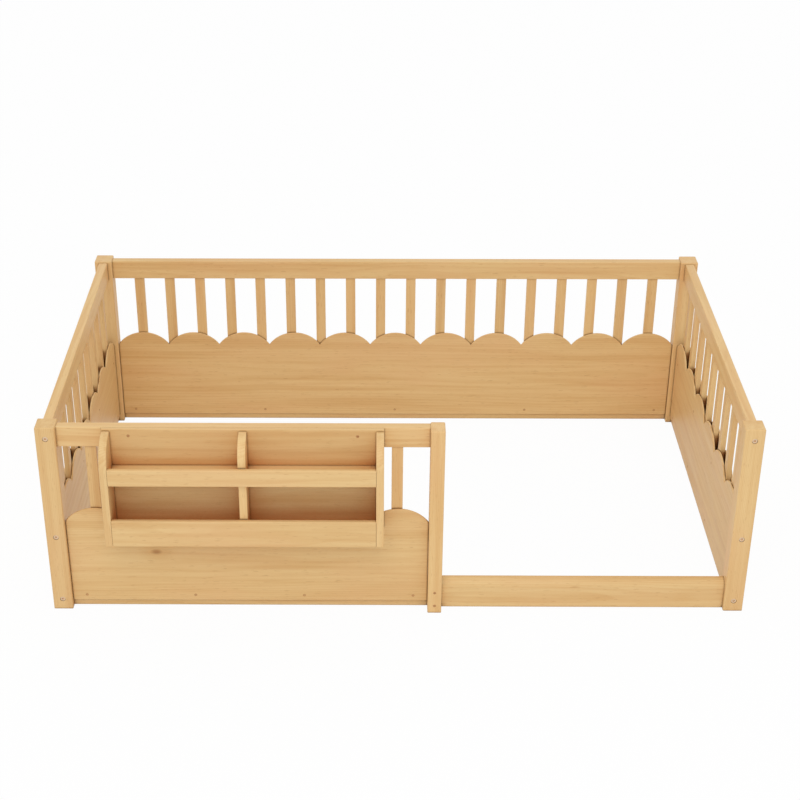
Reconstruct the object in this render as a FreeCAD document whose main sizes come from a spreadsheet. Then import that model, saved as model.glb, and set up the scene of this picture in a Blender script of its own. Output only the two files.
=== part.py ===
# Toddler floor bed: a low open crib of solid pine with scalloped boards round
# the foot of its walls, a doorway at the front right, and a shallow two-tier
# bookcase hung on the front wall.
# Frame: millimetres, X along the bed, Y from front to back, Z up. The origin is
# on the floor, under the middle of the whole object's box.
import FreeCAD, Part
import os
import re
import Sketcher

Vector = FreeCAD.Vector

# ---------------------------------------------------------------- sizes
# Each driving size is written once here and kept in the sheet under its name.
SIZES = [
    # the frame of posts
    ("bed_length", 1400),          # outer faces of the corner posts, along X
    ("bed_width", 800),            # outer faces of the corner posts, along Y
    ("post_side", 39),             # square corner posts
    ("post_height", 426),
    ("gate_post_width", 28),       # doorway post, along X
    ("gate_post_depth", 39),       # and along Y, proud of the rails in front
    ("front_run", 721),            # left post to doorway post
    # rails
    ("rail_thickness", 19),
    ("rail_height", 44),
    ("top_rail_drop", 3),          # post tops stand above the rails
    ("middle_rail_low", 159),
    ("middle_rail_height", 30),
    ("bottom_rail_height", 46),
    ("sill_height", 64),
    ("floor_gap", 1),              # rails clear the floor
    ("tenon_length", 10),
    ("tenon_thickness", 8),
    ("tenon_shoulder", 6),         # above and below a rail's tenon
    # slats
    ("slat_width", 22),
    ("slat_tenon_width", 14),
    ("slat_tenon_thickness", 5),
    ("slat_tenon_length", 9),
    ("back_slats", 18),
    ("side_slats", 9),
    ("front_slats", 9),
    # scalloped boards
    ("board_thickness", 4),
    ("board_foot", 15),            # floor to the boards' lower edges
    ("cusp_height", 206),          # floor to the points between the scallops
    ("scallop_rise", 31),          # points to crests
    ("back_scallops", 11),
    ("side_scallops", 6),
    ("front_scallops", 6),
    # bookcase
    ("bookcase_width", 542),
    ("bookcase_height", 228),
    ("bookcase_depth", 62),        # in front of its back panel
    ("bookcase_back_thickness", 8),
    ("bookcase_side_thickness", 15),
    ("bookcase_corner", 56),       # rounded top front corners of the sides
    ("divider_thickness", 15),
    ("upright_drop", 4),           # tops of sides and divider below the back panel
    ("divider_corner", 42),
    ("shelf_thickness", 10),
    ("shelf_rise", 138),           # lower shelf underside to upper one
    ("housing_depth", 4),          # grooves that hold the shelf ends
    ("lip_thickness", 10),
    ("upper_lip_height", 35),
    ("lower_lip_height", 57.5),
    # fasteners
    ("bolt_diameter", 6),
    ("bolt_head_diameter", 10),
    ("bolt_head_height", 5),
    ("bolt_sink", 1),              # head below the post's face
    ("bolt_socket", 5),            # across the flats of the key socket
    ("bolt_socket_depth", 3),
    ("nut_diameter", 10),
    ("nut_length", 10),
    ("nut_inset", 15),             # rail end to the nut's axis
    ("bolt_past_nut", 7),
    ("screw_diameter", 3),
    ("screw_head_diameter", 6),
    ("screw_head_height", 2),
    ("board_screw_length", 13),
    ("board_screw_height", 28),    # lower row, floor to axis
    ("back_board_screws", 5),
    ("front_board_screws", 4),
    ("side_board_screws", 4),
    ("board_screw_margin", 29),    # board end to the outermost screw
    ("bookcase_screw_length", 24),
    ("bookcase_screw_spread", 440),
    ("bookcase_screw_drop", 14.5),
    ("gate_screw_length", 34),
    # fits and edges
    ("fit", 0.1),                  # clearance on each side of a joint
    ("board_play", 0.3),           # gap at each end of a board
    ("post_round", 2.5),
    ("rail_round", 2),
    ("slat_round", 0.8),
    ("sill_round", 17),            # the step is well rounded for small knees
    ("panel_round", 1.5),
    ("lip_round", 3),
]

doc = FreeCAD.newDocument("floor_bed")
sheet = doc.addObject("Spreadsheet::Sheet", "Sizes")
for row, (alias, amount) in enumerate(SIZES, start=1):
    sheet.set(f"A{row}", alias)
    sheet.set(f"B{row}", str(amount))
    sheet.setAlias(f"B{row}", alias)
doc.recompute()
NAMES = {alias for alias, amount in SIZES}


def number(text):
    """The present value of an expression in the sheet's names."""
    return float(sheet.evalExpression(text))


def tie(text):
    """The same expression as other objects of the document write it."""
    return re.sub(r"[a-z_]+", lambda word: "Sizes." + word[0] if word[0] in NAMES else word[0], text)


# ---------------------------------------------------------------- places worked out from the sizes
SIDE_RUN = "(bed_width - 2*post_side)"
BACK_RUN = "(bed_length - 2*post_side)"
RAIL_X = "(bed_length/2 - post_side/2)"
RAIL_Y = "(bed_width/2 - post_side/2)"
RECESS = "((post_side - rail_thickness)/2)"
BOOKCASE_REACH = f"(bookcase_back_thickness + bookcase_depth - {RECESS})"
BED_Y = f"({BOOKCASE_REACH}/2)"
TOP_RAIL_LOW = "(post_height - top_rail_drop - rail_height)"
TOP_RAIL_MIDDLE = f"({TOP_RAIL_LOW} + rail_height/2)"
MIDDLE_RAIL_MIDDLE = "(middle_rail_low + middle_rail_height/2)"
BOTTOM_RAIL_MIDDLE = "(floor_gap + bottom_rail_height/2)"
SLAT_THICKNESS = "(rail_thickness - 2*board_thickness - 2*fit)"
SLAT_LOW = "(middle_rail_low + middle_rail_height)"
SLAT_LENGTH = f"({TOP_RAIL_LOW} - {SLAT_LOW})"
FRONT_X = "(post_side - bed_length/2 + front_run/2)"
GATE_X = "(post_side - bed_length/2 + front_run + gate_post_width/2)"
OUTER_FACE = "(rail_thickness/2)"
HEAD_HOLE = "(bolt_head_height + bolt_sink)"
# the low edge and the height of each rail that is tenoned into the posts, from the top down
BACK_LEVELS = [(TOP_RAIL_LOW, "rail_height"), ("middle_rail_low", "middle_rail_height"),
               ("floor_gap", "bottom_rail_height")]
FRONT_LEVELS = BACK_LEVELS[:2] + [("floor_gap", "sill_height")]


# ---------------------------------------------------------------- features
def new_body(label, x="0", y="0", z="0", turn=0):
    """An empty piece at its place, turned about Z by whole right angles."""
    body = doc.addObject("PartDesign::Body", label)
    body.Label = label
    spot = Vector(number(x), number(y), number(z))
    body.Placement = FreeCAD.Placement(spot, FreeCAD.Rotation(Vector(0, 0, 1), turn))
    for axis, text in zip("xyz", (x, y, z)):
        body.setExpression("Placement.Base." + axis, tie(text))
    return body


def new_sketch(body, name, role, offset):
    """A sketch on one of the piece's own planes, moved along the plane's normal."""
    sketch = body.newObject("Sketcher::SketchObject", name)
    plane = [item for item in body.Origin.OriginFeatures if item.Role == role][0]
    sketch.AttachmentSupport = [(plane, "")]
    sketch.MapMode = "FlatFace"
    sketch.AttachmentOffset = FreeCAD.Placement(Vector(0, 0, number(offset)), FreeCAD.Rotation())
    sketch.setExpression("AttachmentOffset.Base.z", tie(offset))
    return sketch


def hold(sketch, name, text, *what):
    """A named sketch dimension that follows an expression."""
    index = sketch.addConstraint(Sketcher.Constraint(*what, number(text)))
    sketch.renameConstraint(index, name)
    sketch.setExpression("Constraints." + name, tie(text))


def rectangle(sketch, low_u, low_v, size_u, size_v):
    """One rectangle, from its low corner, held by four dimensions."""
    u = number(low_u)
    v = number(low_v)
    du = number(size_u)
    dv = number(size_v)
    corners = [Vector(u, v, 0), Vector(u + du, v, 0), Vector(u + du, v + dv, 0), Vector(u, v + dv, 0)]
    for i in range(4):
        sketch.addGeometry(Part.LineSegment(corners[i], corners[(i + 1) % 4]))
    for i in range(4):
        sketch.addConstraint(Sketcher.Constraint("Coincident", i, 2, (i + 1) % 4, 1))
    sketch.addConstraint(Sketcher.Constraint("Horizontal", 0))
    sketch.addConstraint(Sketcher.Constraint("Vertical", 1))
    sketch.addConstraint(Sketcher.Constraint("Horizontal", 2))
    sketch.addConstraint(Sketcher.Constraint("Vertical", 3))
    hold(sketch, "low_u", low_u, "DistanceX", -1, 1, 0, 1)
    hold(sketch, "low_v", low_v, "DistanceY", -1, 1, 0, 1)
    hold(sketch, "size_u", size_u, "DistanceX", 0, 1, 0, 2)
    hold(sketch, "size_v", size_v, "DistanceY", 1, 1, 1, 2)


def extrude(body, kind, name, sketch, length, backwards=False):
    """A pad or pocket of the sketch, which becomes the piece's last feature."""
    feature = body.newObject("PartDesign::" + kind, name)
    feature.Profile = sketch
    feature.Length = number(length)
    feature.setExpression("Length", tie(length))
    feature.Reversed = backwards
    sketch.Visibility = False
    body.Tip = feature
    return feature


def add_block(body, name, low, size):
    """A square-cornered block, from its low corner (x, y, z) and its size."""
    sketch = new_sketch(body, name + "_outline", "XY_Plane", low[2])
    rectangle(sketch, low[0], low[1], size[0], size[1])
    return extrude(body, "Pad", name, sketch, size[2])


def cut_block(body, name, low, size):
    """A square-cornered cut, from its low corner (x, y, z) and its size."""
    sketch = new_sketch(body, name + "_outline", "XY_Plane", low[2])
    rectangle(sketch, low[0], low[1], size[0], size[1])
    return extrude(body, "Pocket", name, sketch, size[2], backwards=True)


def drill(body, name, role, offset, spots, diameter, depth, backwards):
    """Round holes of one size, all in one sketch. A pocket runs against the
    plane's normal (XZ: towards +Y, YZ: towards -X), or along it if backwards."""
    sketch = new_sketch(body, name + "_marks", role, offset)
    for i, (u, v) in enumerate(spots):
        centre = Vector(number(u), number(v), 0)
        sketch.addGeometry(Part.Circle(centre, Vector(0, 0, 1), number(diameter) / 2))
        hold(sketch, f"u{i}", u, "DistanceX", -1, 1, i, 3)
        hold(sketch, f"v{i}", v, "DistanceY", -1, 1, i, 3)
        if i == 0:
            hold(sketch, "wide", diameter, "Diameter", 0)
        else:
            sketch.addConstraint(Sketcher.Constraint("Equal", 0, i))
    return extrude(body, "Pocket", name, sketch, depth, backwards)


def repeat(body, name, feature, sketch, extent, count):
    """Copies of a feature in a row along the sketch's horizontal axis."""
    if round(number(count)) < 2:
        return feature
    row = body.newObject("PartDesign::LinearPattern", name)
    row.Originals = [feature]
    row.Direction = (sketch, ["H_Axis"])
    row.Length = number(extent)
    row.setExpression("Length", tie(extent))
    row.Occurrences = round(number(count))
    row.setExpression("Occurrences", tie(count))
    body.Tip = row
    return row


def soften(body, name, feature, radius, wanted):
    """Rounds the edges of a feature that a test on the edge picks out."""
    feature.recompute(True)
    edges = [f"Edge{i}" for i, edge in enumerate(feature.Shape.Edges, start=1) if wanted(edge)]
    fillet = body.newObject("PartDesign::Fillet", name)
    fillet.Base = (feature, edges)
    fillet.Radius = number(radius)
    fillet.setExpression("Radius", tie(radius))
    body.Tip = fillet
    return fillet


def runs_along(edge, axis):
    """Whether an edge is straight and parallel to an axis."""
    if not isinstance(edge.Curve, Part.Line):
        return False
    return abs(abs(edge.Curve.Direction.dot(axis)) - 1) < 1e-6


def along_x(edge):
    return runs_along(edge, Vector(1, 0, 0))


def along_z(edge):
    return runs_along(edge, Vector(0, 0, 1))


# ---------------------------------------------------------------- walls
# A wall's pieces share its frame: local X along the run, local Y outwards from
# the rails' middle plane, Z up from the floor.
class Wall:
    def __init__(self, name, turn, x, y, run, slats, scallops, inner, outer):
        self.name = name
        self.turn = turn
        self.x = x
        self.y = y
        self.run = run
        self.slats = slats
        self.scallops = scallops
        self.inner = inner
        self.outer = outer
        self.pitch = f"(({run} + slat_width)/({slats} + 1))"
        self.first_slat = f"({self.pitch} - slat_width/2 - {run}/2)"
        skins = int(inner) + int(outer)
        self.core = f"(rail_thickness - {skins}*board_thickness)"
        self.core_low = "(-rail_thickness/2 + board_thickness)" if inner else "(-rail_thickness/2)"
        self.tenoned = name in ("back", "front")

    def body(self, label, z="0"):
        return new_body(label, self.x, self.y, z, self.turn)


WALLS = [
    Wall("back", 0, "0", f"({BED_Y} + {RAIL_Y})", BACK_RUN, "back_slats", "back_scallops", True, False),
    Wall("left", 90, f"-{RAIL_X}", BED_Y, SIDE_RUN, "side_slats", "side_scallops", True, True),
    Wall("right", -90, RAIL_X, BED_Y, SIDE_RUN, "side_slats", "side_scallops", True, True),
    Wall("front", 180, FRONT_X, f"({BED_Y} - {RAIL_Y})", "front_run", "front_slats", "front_scallops",
         False, True),
]
BACK, LEFT, RIGHT, FRONT = WALLS


def end_tenons(body, run, low, height):
    """A stub tenon on each end of a rail."""
    size = ("tenon_length", "tenon_thickness", f"({height} - 2*tenon_shoulder)")
    start_z = f"({low} + tenon_shoulder)"
    add_block(body, "tenon_a", (f"-{run}/2 - tenon_length", "-tenon_thickness/2", start_z), size)
    add_block(body, "tenon_b", (f"{run}/2", "-tenon_thickness/2", start_z), size)


def nut_holes(body, wall, height):
    """Bolt holes in a side rail's ends and cross holes for the barrel nuts."""
    depth = "(nut_inset + bolt_past_nut + 2)"
    drill(body, "bolt_hole_a", "YZ_Plane", f"-{wall.run}/2", [("0", height)],
          "(bolt_diameter + 2*fit)", depth, True)
    drill(body, "bolt_hole_b", "YZ_Plane", f"{wall.run}/2", [("0", height)],
          "(bolt_diameter + 2*fit)", depth, False)
    spots = [(f"{sign}({wall.run}/2 - nut_inset)", height) for sign in ("-", "")]
    drill(body, "nut_hole", "XZ_Plane", f"-{OUTER_FACE}", spots,
          "(nut_diameter + 2*fit)", "(rail_thickness/2 + nut_length/2)", True)


def slat_mortises(body, wall, low):
    """A row of mortises for the slats' stub tenons, upwards from a height."""
    width = "(slat_tenon_width + 2*fit)"
    depth = "(slat_tenon_thickness + 2*fit)"
    sketch = new_sketch(body, "mortise_outline", "XY_Plane", low)
    rectangle(sketch, f"{wall.first_slat} - {width}/2", f"-{depth}/2", width, depth)
    mortise = extrude(body, "Pocket", "mortise", sketch, "(slat_tenon_length + fit)", backwards=True)
    repeat(body, "mortise_row", mortise, sketch, f"({wall.pitch}*({wall.slats} - 1))", wall.slats)


def top_rail(wall):
    body = wall.body(f"{wall.name}_top_rail")
    low = (f"-{wall.run}/2", "-rail_thickness/2", TOP_RAIL_LOW)
    bar = add_block(body, "bar", low, (wall.run, "rail_thickness", "rail_height"))
    soften(body, "eased_edges", bar, "rail_round", along_x)
    if wall.tenoned:
        end_tenons(body, wall.run, TOP_RAIL_LOW, "rail_height")
    else:
        nut_holes(body, wall, TOP_RAIL_MIDDLE)
    if wall.name == "front":
        depth = "(bookcase_screw_length - bookcase_back_thickness + 1)"
        drill(body, "bookcase_screw_holes", "XZ_Plane", f"-{OUTER_FACE}", bookcase_screw_spots(),
              "(screw_diameter + 2*fit)", depth, True)
    slat_mortises(body, wall, TOP_RAIL_LOW)
    return body


def core_rail(wall, level, low, height):
    """A rail that stands behind the scalloped boards."""
    body = wall.body(f"{wall.name}_{level}_rail")
    add_block(body, "bar", (f"-{wall.run}/2", wall.core_low, low), (wall.run, wall.core, height))
    if wall.tenoned:
        end_tenons(body, wall.run, low, height)
    else:
        nut_holes(body, wall, f"({low} + {height}/2)")
    return body


def middle_rail(wall):
    body = core_rail(wall, "middle", "middle_rail_low", "middle_rail_height")
    slat_mortises(body, wall, f"({SLAT_LOW} - slat_tenon_length - fit)")
    for side in ("inner", "outer"):
        pilot_holes(body, wall, side, MIDDLE_RAIL_MIDDLE)
    return body


def bottom_rail(wall):
    body = core_rail(wall, "bottom", "floor_gap", "bottom_rail_height")
    for side in ("inner", "outer"):
        pilot_holes(body, wall, side, "board_screw_height")
    return body


def slat(wall, index):
    """One slat, square-shouldered, with a stub tenon at each end."""
    middle = f"({wall.first_slat} + {index}*{wall.pitch})"
    body = wall.body(f"{wall.name}_slat_{index + 1:02d}")
    low = (f"{middle} - slat_width/2", f"-{SLAT_THICKNESS}/2", SLAT_LOW)
    bar = add_block(body, "bar", low, ("slat_width", SLAT_THICKNESS, SLAT_LENGTH))
    soften(body, "eased_edges", bar, "slat_round", along_z)
    size = ("slat_tenon_width", "slat_tenon_thickness", "slat_tenon_length")
    tenon_low = (f"{middle} - slat_tenon_width/2", "-slat_tenon_thickness/2")
    add_block(body, "foot_tenon", (*tenon_low, f"{SLAT_LOW} - slat_tenon_length"), size)
    add_block(body, "head_tenon", (*tenon_low, TOP_RAIL_LOW), size)
    return body


# ---------------------------------------------------------------- scalloped boards
def screw_spots(wall, level):
    """Screw axes along a board: evenly spaced from end to end."""
    count = round(number(screw_count(wall)))
    span = f"({wall.run} - 2*board_screw_margin)"
    spots = []
    for i in range(count):
        spots.append((f"({span}*({i}/({screw_count(wall)} - 1) - 1/2))", level))
    return spots


def screw_count(wall):
    return {"back": "back_board_screws", "front": "front_board_screws"}.get(wall.name, "side_board_screws")


def screwed_levels(wall, side):
    """The heights at which a board is screwed to the rails behind it."""
    if not (wall.inner if side == "inner" else wall.outer):
        return []
    if wall.name in ("left", "right"):
        return ["board_screw_height", MIDDLE_RAIL_MIDDLE]
    return ["board_screw_height"]


def pilot_holes(body, wall, side, level):
    """Holes in a rail for the screws of the board on one side of it."""
    if level not in screwed_levels(wall, side):
        return
    depth = f"({wall.core}/2 - fit)" if wall.inner and wall.outer else "board_screw_length"
    face = "(rail_thickness/2 - board_thickness)"
    offset = face if side == "inner" else f"-{face}"
    drill(body, f"pilot_{side}", "XZ_Plane", offset, screw_spots(wall, level),
          "(screw_diameter + 2*fit)", depth, side == "outer")


def board(wall, side):
    """A thin board with a row of round scallops along its top edge. Each scallop
    is the part of a circle above its chord: radius (chord^2/4 + rise^2)/(2 rise)."""
    label = f"{wall.name}_{side}_board" if wall.inner and wall.outer else f"{wall.name}_board"
    body = wall.body(label)
    outside = OUTER_FACE if side == "outer" else "(board_thickness - rail_thickness/2)"
    length = f"({wall.run} - 2*board_play)"
    chord = f"({length}/{wall.scallops})"
    low = (f"-{length}/2", f"({outside} - board_thickness)", "board_foot")
    add_block(body, "sheet", low, (length, "board_thickness", "(cusp_height - board_foot)"))
    sketch = new_sketch(body, "scallop_outline", "XZ_Plane", f"-{outside}")
    left = Vector(-number(length) / 2, number("cusp_height"), 0)
    right = left + Vector(number(chord), 0, 0)
    crest = (left + right) / 2 + Vector(0, number("scallop_rise"), 0)
    sketch.addGeometry(Part.LineSegment(left, right))
    sketch.addGeometry(Part.Arc(right, crest, left))
    sketch.addConstraint(Sketcher.Constraint("Coincident", 0, 2, 1, 1))
    sketch.addConstraint(Sketcher.Constraint("Coincident", 0, 1, 1, 2))
    sketch.addConstraint(Sketcher.Constraint("Horizontal", 0))
    hold(sketch, "left_end", f"-{length}/2", "DistanceX", -1, 1, 0, 1)
    hold(sketch, "chord_height", "cusp_height", "DistanceY", -1, 1, 0, 1)
    hold(sketch, "chord", chord, "DistanceX", 0, 1, 0, 2)
    hold(sketch, "radius", f"(({chord}^2/4 + scallop_rise^2)/(2*scallop_rise))", "Radius", 1)
    scallop = extrude(body, "Pad", "scallop", sketch, "board_thickness")
    repeat(body, "scallop_row", scallop, sketch, f"({length} - {chord})", wall.scallops)
    for row, level in enumerate(screwed_levels(wall, side)):
        spots = screw_spots(wall, level)
        face = f"-{outside}" if side == "outer" else OUTER_FACE
        drill(body, f"head_hole_{row}", "XZ_Plane", face, spots,
              "(screw_head_diameter + 2*fit)", "(screw_head_height + fit)", side == "outer")
        drill(body, f"screw_hole_{row}", "XZ_Plane", face, spots,
              "(screw_diameter + 2*fit)", "board_thickness", side == "outer")
    return body


# ---------------------------------------------------------------- posts and sill
def corner_post(label, x_side, y_side, levels):
    """A corner post, its mortises facing along the bed and its bolt holes
    running in from the front or the back. Sides are -1 or 1."""
    x_sign = "-" if x_side < 0 else ""
    y_sign = "-" if y_side < 0 else ""
    body = new_body(label, f"{x_sign}{RAIL_X}", f"{BED_Y} + {y_side}*{RAIL_Y}")
    bar = add_block(body, "bar", ("-post_side/2", "-post_side/2", "0"),
                    ("post_side", "post_side", "post_height"))
    top = number("post_height")
    soften(body, "eased_edges", bar, "post_round",
           lambda edge: along_z(edge) or edge.BoundBox.ZMin > top - 0.01)
    width = "(tenon_thickness + 2*fit)"
    reach = "(tenon_length + fit)"
    start = f"(post_side/2 - {reach})" if x_side < 0 else "(-post_side/2)"
    for i, (low, height) in enumerate(levels):
        size = (reach, width, f"({height} - 2*tenon_shoulder + 2*fit)")
        cut_block(body, f"mortise_{i}", (start, f"-{width}/2", f"({low} + tenon_shoulder - fit)"), size)
    heights = (TOP_RAIL_MIDDLE, MIDDLE_RAIL_MIDDLE, BOTTOM_RAIL_MIDDLE)
    spots = [("0", height) for height in heights]
    face = f"({-y_side}*post_side/2)"
    drill(body, "bolt_head_holes", "XZ_Plane", face, spots,
          "(bolt_head_diameter + 2*fit + 1)", HEAD_HOLE, y_side > 0)
    drill(body, "bolt_holes", "XZ_Plane", face, spots,
          "(bolt_diameter + 2*fit)", "post_side", y_side > 0)
    return body


def gate_post():
    """The doorway post. It takes the front rails' tenons and is notched over the sill."""
    body = new_body("gate_post", GATE_X, f"{BED_Y} - {RAIL_Y}", "0", 180)
    back = "(-rail_thickness/2)"
    bar = add_block(body, "bar", ("-gate_post_width/2", back, "0"),
                    ("gate_post_width", "gate_post_depth", "post_height"))
    top = number("post_height")
    soften(body, "eased_edges", bar, "post_round",
           lambda edge: along_z(edge) or edge.BoundBox.ZMin > top - 0.01)
    width = "(tenon_thickness + 2*fit)"
    reach = "(tenon_length + fit)"
    for i, (low, height) in enumerate(FRONT_LEVELS[:2]):
        size = (reach, width, f"({height} - 2*tenon_shoulder + 2*fit)")
        start = f"(gate_post_width/2 - {reach})"
        cut_block(body, f"mortise_{i}", (start, f"-{width}/2", f"({low} + tenon_shoulder - fit)"), size)
    cut_block(body, "sill_notch", ("-gate_post_width/2 - 1", f"({back} - 1)", "-1"),
              ("gate_post_width + 2", "(rail_thickness + fit + 1)", "(floor_gap + sill_height + fit + 1)"))
    front = "(gate_post_depth - rail_thickness/2)"
    drill(body, "screw_head_holes", "XZ_Plane", f"-{front}", gate_screw_spots("0"),
          "(screw_head_diameter + 2*fit)", "(screw_head_height + fit)", True)
    drill(body, "screw_holes", "XZ_Plane", f"-{front}", gate_screw_spots("0"),
          "(screw_diameter + 2*fit)", "(gate_post_depth - rail_thickness)", True)
    return body


def gate_screw_spots(x):
    """Two screws at the quarter points of the sill's height."""
    return [(x, f"(floor_gap + sill_height*{part}/4)") for part in (1, 3)]


def front_sill():
    """The front bottom rail. It runs from corner post to corner post, is the
    step of the doorway, and is rebated behind the front board."""
    body = new_body("front_sill", "0", f"{BED_Y} - {RAIL_Y}", "0", 180)
    bar = add_block(body, "bar", (f"-{BACK_RUN}/2", "-rail_thickness/2", "floor_gap"),
                    (BACK_RUN, "rail_thickness", "sill_height"))
    step = number("floor_gap + sill_height")
    soften(body, "rounded_step", bar, "sill_round",
           lambda edge: along_x(edge) and edge.BoundBox.ZMin > step - 0.01 and edge.BoundBox.YMin > 0)
    end_tenons(body, BACK_RUN, "floor_gap", "sill_height")
    cut_block(body, "board_rebate", (f"({BACK_RUN}/2 - front_run)", f"({OUTER_FACE} - board_thickness)", "0"),
              ("front_run", "(board_thickness + 1)", "(floor_gap + sill_height + 1)"))
    shift = f"({BACK_RUN}/2 - front_run/2)"
    spots = [(f"({u} + {shift})", v) for u, v in screw_spots(FRONT, "board_screw_height")]
    drill(body, "pilot_outer", "XZ_Plane", f"-({OUTER_FACE} - board_thickness)", spots,
          "(screw_diameter + 2*fit)", "board_screw_length", True)
    drill(body, "gate_screw_holes", "XZ_Plane", f"-{OUTER_FACE}", gate_screw_spots(f"(-{GATE_X})"),
          "(screw_diameter + 2*fit)", "(gate_screw_length - gate_post_depth + rail_thickness + 1)", True)
    return body


# ---------------------------------------------------------------- bookcase
BOOKCASE_LOW = "(post_height - top_rail_drop - bookcase_height)"
BACK_FACE = f"({OUTER_FACE} + bookcase_back_thickness)"
LIP_BACK = f"({BACK_FACE} + bookcase_depth - lip_thickness)"
INSIDE_WIDTH = "(bookcase_width - 2*bookcase_side_thickness)"
SHELF_DEPTH = "(bookcase_depth - lip_thickness)"
SHELF_LOWS = (BOOKCASE_LOW, f"({BOOKCASE_LOW} + shelf_rise)")


def bookcase_back():
    body = FRONT.body("bookcase_back")
    low = ("-bookcase_width/2", OUTER_FACE, BOOKCASE_LOW)
    panel = add_block(body, "panel", low, ("bookcase_width", "bookcase_back_thickness", "bookcase_height"))
    top = number(f"{BOOKCASE_LOW} + bookcase_height")
    soften(body, "eased_top", panel, "panel_round",
           lambda edge: along_x(edge) and edge.BoundBox.ZMin > top - 0.01)
    spots = bookcase_screw_spots()
    drill(body, "screw_head_holes", "XZ_Plane", f"-{BACK_FACE}", spots,
          "(screw_head_diameter + 2*fit)", "(screw_head_height + fit)", True)
    drill(body, "screw_holes", "XZ_Plane", f"-{BACK_FACE}", spots,
          "(screw_diameter + 2*fit)", "bookcase_back_thickness", True)
    return body


def bookcase_screw_spots():
    height = "(post_height - top_rail_drop - bookcase_screw_drop)"
    return [(f"{sign}bookcase_screw_spread/2", height) for sign in ("-", "")]


def bookcase_side(label, side):
    """An end of the bookcase, with a groove for each shelf and a big round
    corner at the top front. The wall's local X runs from right to left."""
    body = FRONT.body(label)
    start = "(bookcase_width/2 - bookcase_side_thickness)" if side > 0 else "(-bookcase_width/2)"
    panel = add_block(body, "panel", (start, BACK_FACE, BOOKCASE_LOW),
                      ("bookcase_side_thickness", "bookcase_depth", "(bookcase_height - upright_drop)"))
    top = number(f"{BOOKCASE_LOW} + bookcase_height - upright_drop")
    front = number(f"{BACK_FACE} + bookcase_depth")
    corner = soften(body, "round_corner", panel, "bookcase_corner",
                    lambda edge: along_x(edge) and edge.BoundBox.ZMin > top - 0.01
                    and edge.BoundBox.YMin > front - 0.01)
    soften(body, "eased_edges", corner, "panel_round",
           lambda edge: front_outline(edge, front, top))
    depth = "(housing_depth + fit)"
    inside = f"({INSIDE_WIDTH}/2)" if side > 0 else f"(-{INSIDE_WIDTH}/2 - {depth})"
    for i, low in enumerate(SHELF_LOWS):
        cut_block(body, f"housing_{i}", (inside, BACK_FACE, f"({low} - fit)"),
                  (depth, f"({SHELF_DEPTH} + fit)", "(shelf_thickness + 2*fit)"))
    return body


def front_outline(edge, front, top):
    """The edges round a panel's front and its curved top corner."""
    box = edge.BoundBox
    if box.XLength > 0.01:
        return False
    straight = along_z(edge) and box.YMin > front - 0.01
    return straight or isinstance(edge.Curve, Part.Circle)


def bookcase_divider():
    """The upright between the bays, halved over the upper shelf from behind."""
    body = FRONT.body("bookcase_divider")
    low = f"({BOOKCASE_LOW} + shelf_thickness)"
    height = "(bookcase_height - shelf_thickness - upright_drop)"
    panel = add_block(body, "panel", ("-divider_thickness/2", BACK_FACE, low),
                      ("divider_thickness", SHELF_DEPTH, height))
    top = number(f"{low} + {height}")
    front = number(LIP_BACK)
    soften(body, "round_corner", panel, "divider_corner",
           lambda edge: along_x(edge) and edge.BoundBox.ZMin > top - 0.01
           and edge.BoundBox.YMin > front - 0.01)
    cut_block(body, "halving", ("-divider_thickness/2 - 1", f"({BACK_FACE} - 1)", f"({SHELF_LOWS[1]} - fit)"),
              ("divider_thickness + 2", f"({SHELF_DEPTH}/2 + fit + 1)", "(shelf_thickness + 2*fit)"))
    return body


def shelf(label, low, halved):
    """A shelf housed in both ends. The upper one is halved over the divider."""
    body = FRONT.body(label)
    add_block(body, "plank", (f"(-{INSIDE_WIDTH}/2 - housing_depth)", BACK_FACE, low),
              (f"({INSIDE_WIDTH} + 2*housing_depth)", SHELF_DEPTH, "shelf_thickness"))
    if halved:
        cut_block(body, "halving", ("(-divider_thickness/2 - fit)", f"({BACK_FACE} + {SHELF_DEPTH}/2)", low),
                  ("(divider_thickness + 2*fit)", f"({SHELF_DEPTH}/2 + 1)", "shelf_thickness"))
    return body


def lip(label, low, height):
    """A strip in front of a shelf that keeps the books in."""
    body = FRONT.body(label)
    strip = add_block(body, "strip", (f"-{INSIDE_WIDTH}/2", LIP_BACK, low),
                      (INSIDE_WIDTH, "lip_thickness", height))
    top = number(f"{low} + {height}")
    soften(body, "eased_top", strip, "lip_round",
           lambda edge: along_x(edge) and edge.BoundBox.ZMin > top - 0.01)
    return body


# ---------------------------------------------------------------- fasteners
def rod(name, diameter, length, start="0"):
    """A round bar along its own Z, from a height."""
    bar = doc.addObject("Part::Cylinder", name)
    bar.setExpression("Radius", tie(f"{diameter}/2"))
    bar.setExpression("Height", tie(length))
    bar.setExpression("Placement.Base.z", tie(start))
    return bar


def headed(name, shank, length, head, head_height):
    """A shank under a round head. The head's top is at zero and the shank runs up Z."""
    fuse = doc.addObject("Part::Fuse", name)
    fuse.Base = rod(name + "_head", head, head_height)
    fuse.Tool = rod(name + "_shank", shank, f"({length} - {head_height})", head_height)
    return fuse


def stand(item, turn, x, y, z):
    """Puts an item at a place in the bed's frame, with its own turn."""
    item.Placement = FreeCAD.Placement(Vector(number(x), number(y), number(z)), turn)
    for axis, text in zip("xyz", (x, y, z)):
        item.setExpression("Placement.Base." + axis, tie(text))
    return item


def in_wall(wall, u, v):
    """A place in a wall's frame, u along the run and v outwards, in the bed's frame."""
    if wall.turn == 0:
        return f"({wall.x} + {u})", f"({wall.y} + {v})"
    if wall.turn == 180:
        return f"({wall.x} - {u})", f"({wall.y} - {v})"
    if wall.turn == 90:
        return f"({wall.x} - {v})", f"({wall.y} + {u})"
    return f"({wall.x} + {v})", f"({wall.y} - {u})"


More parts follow.
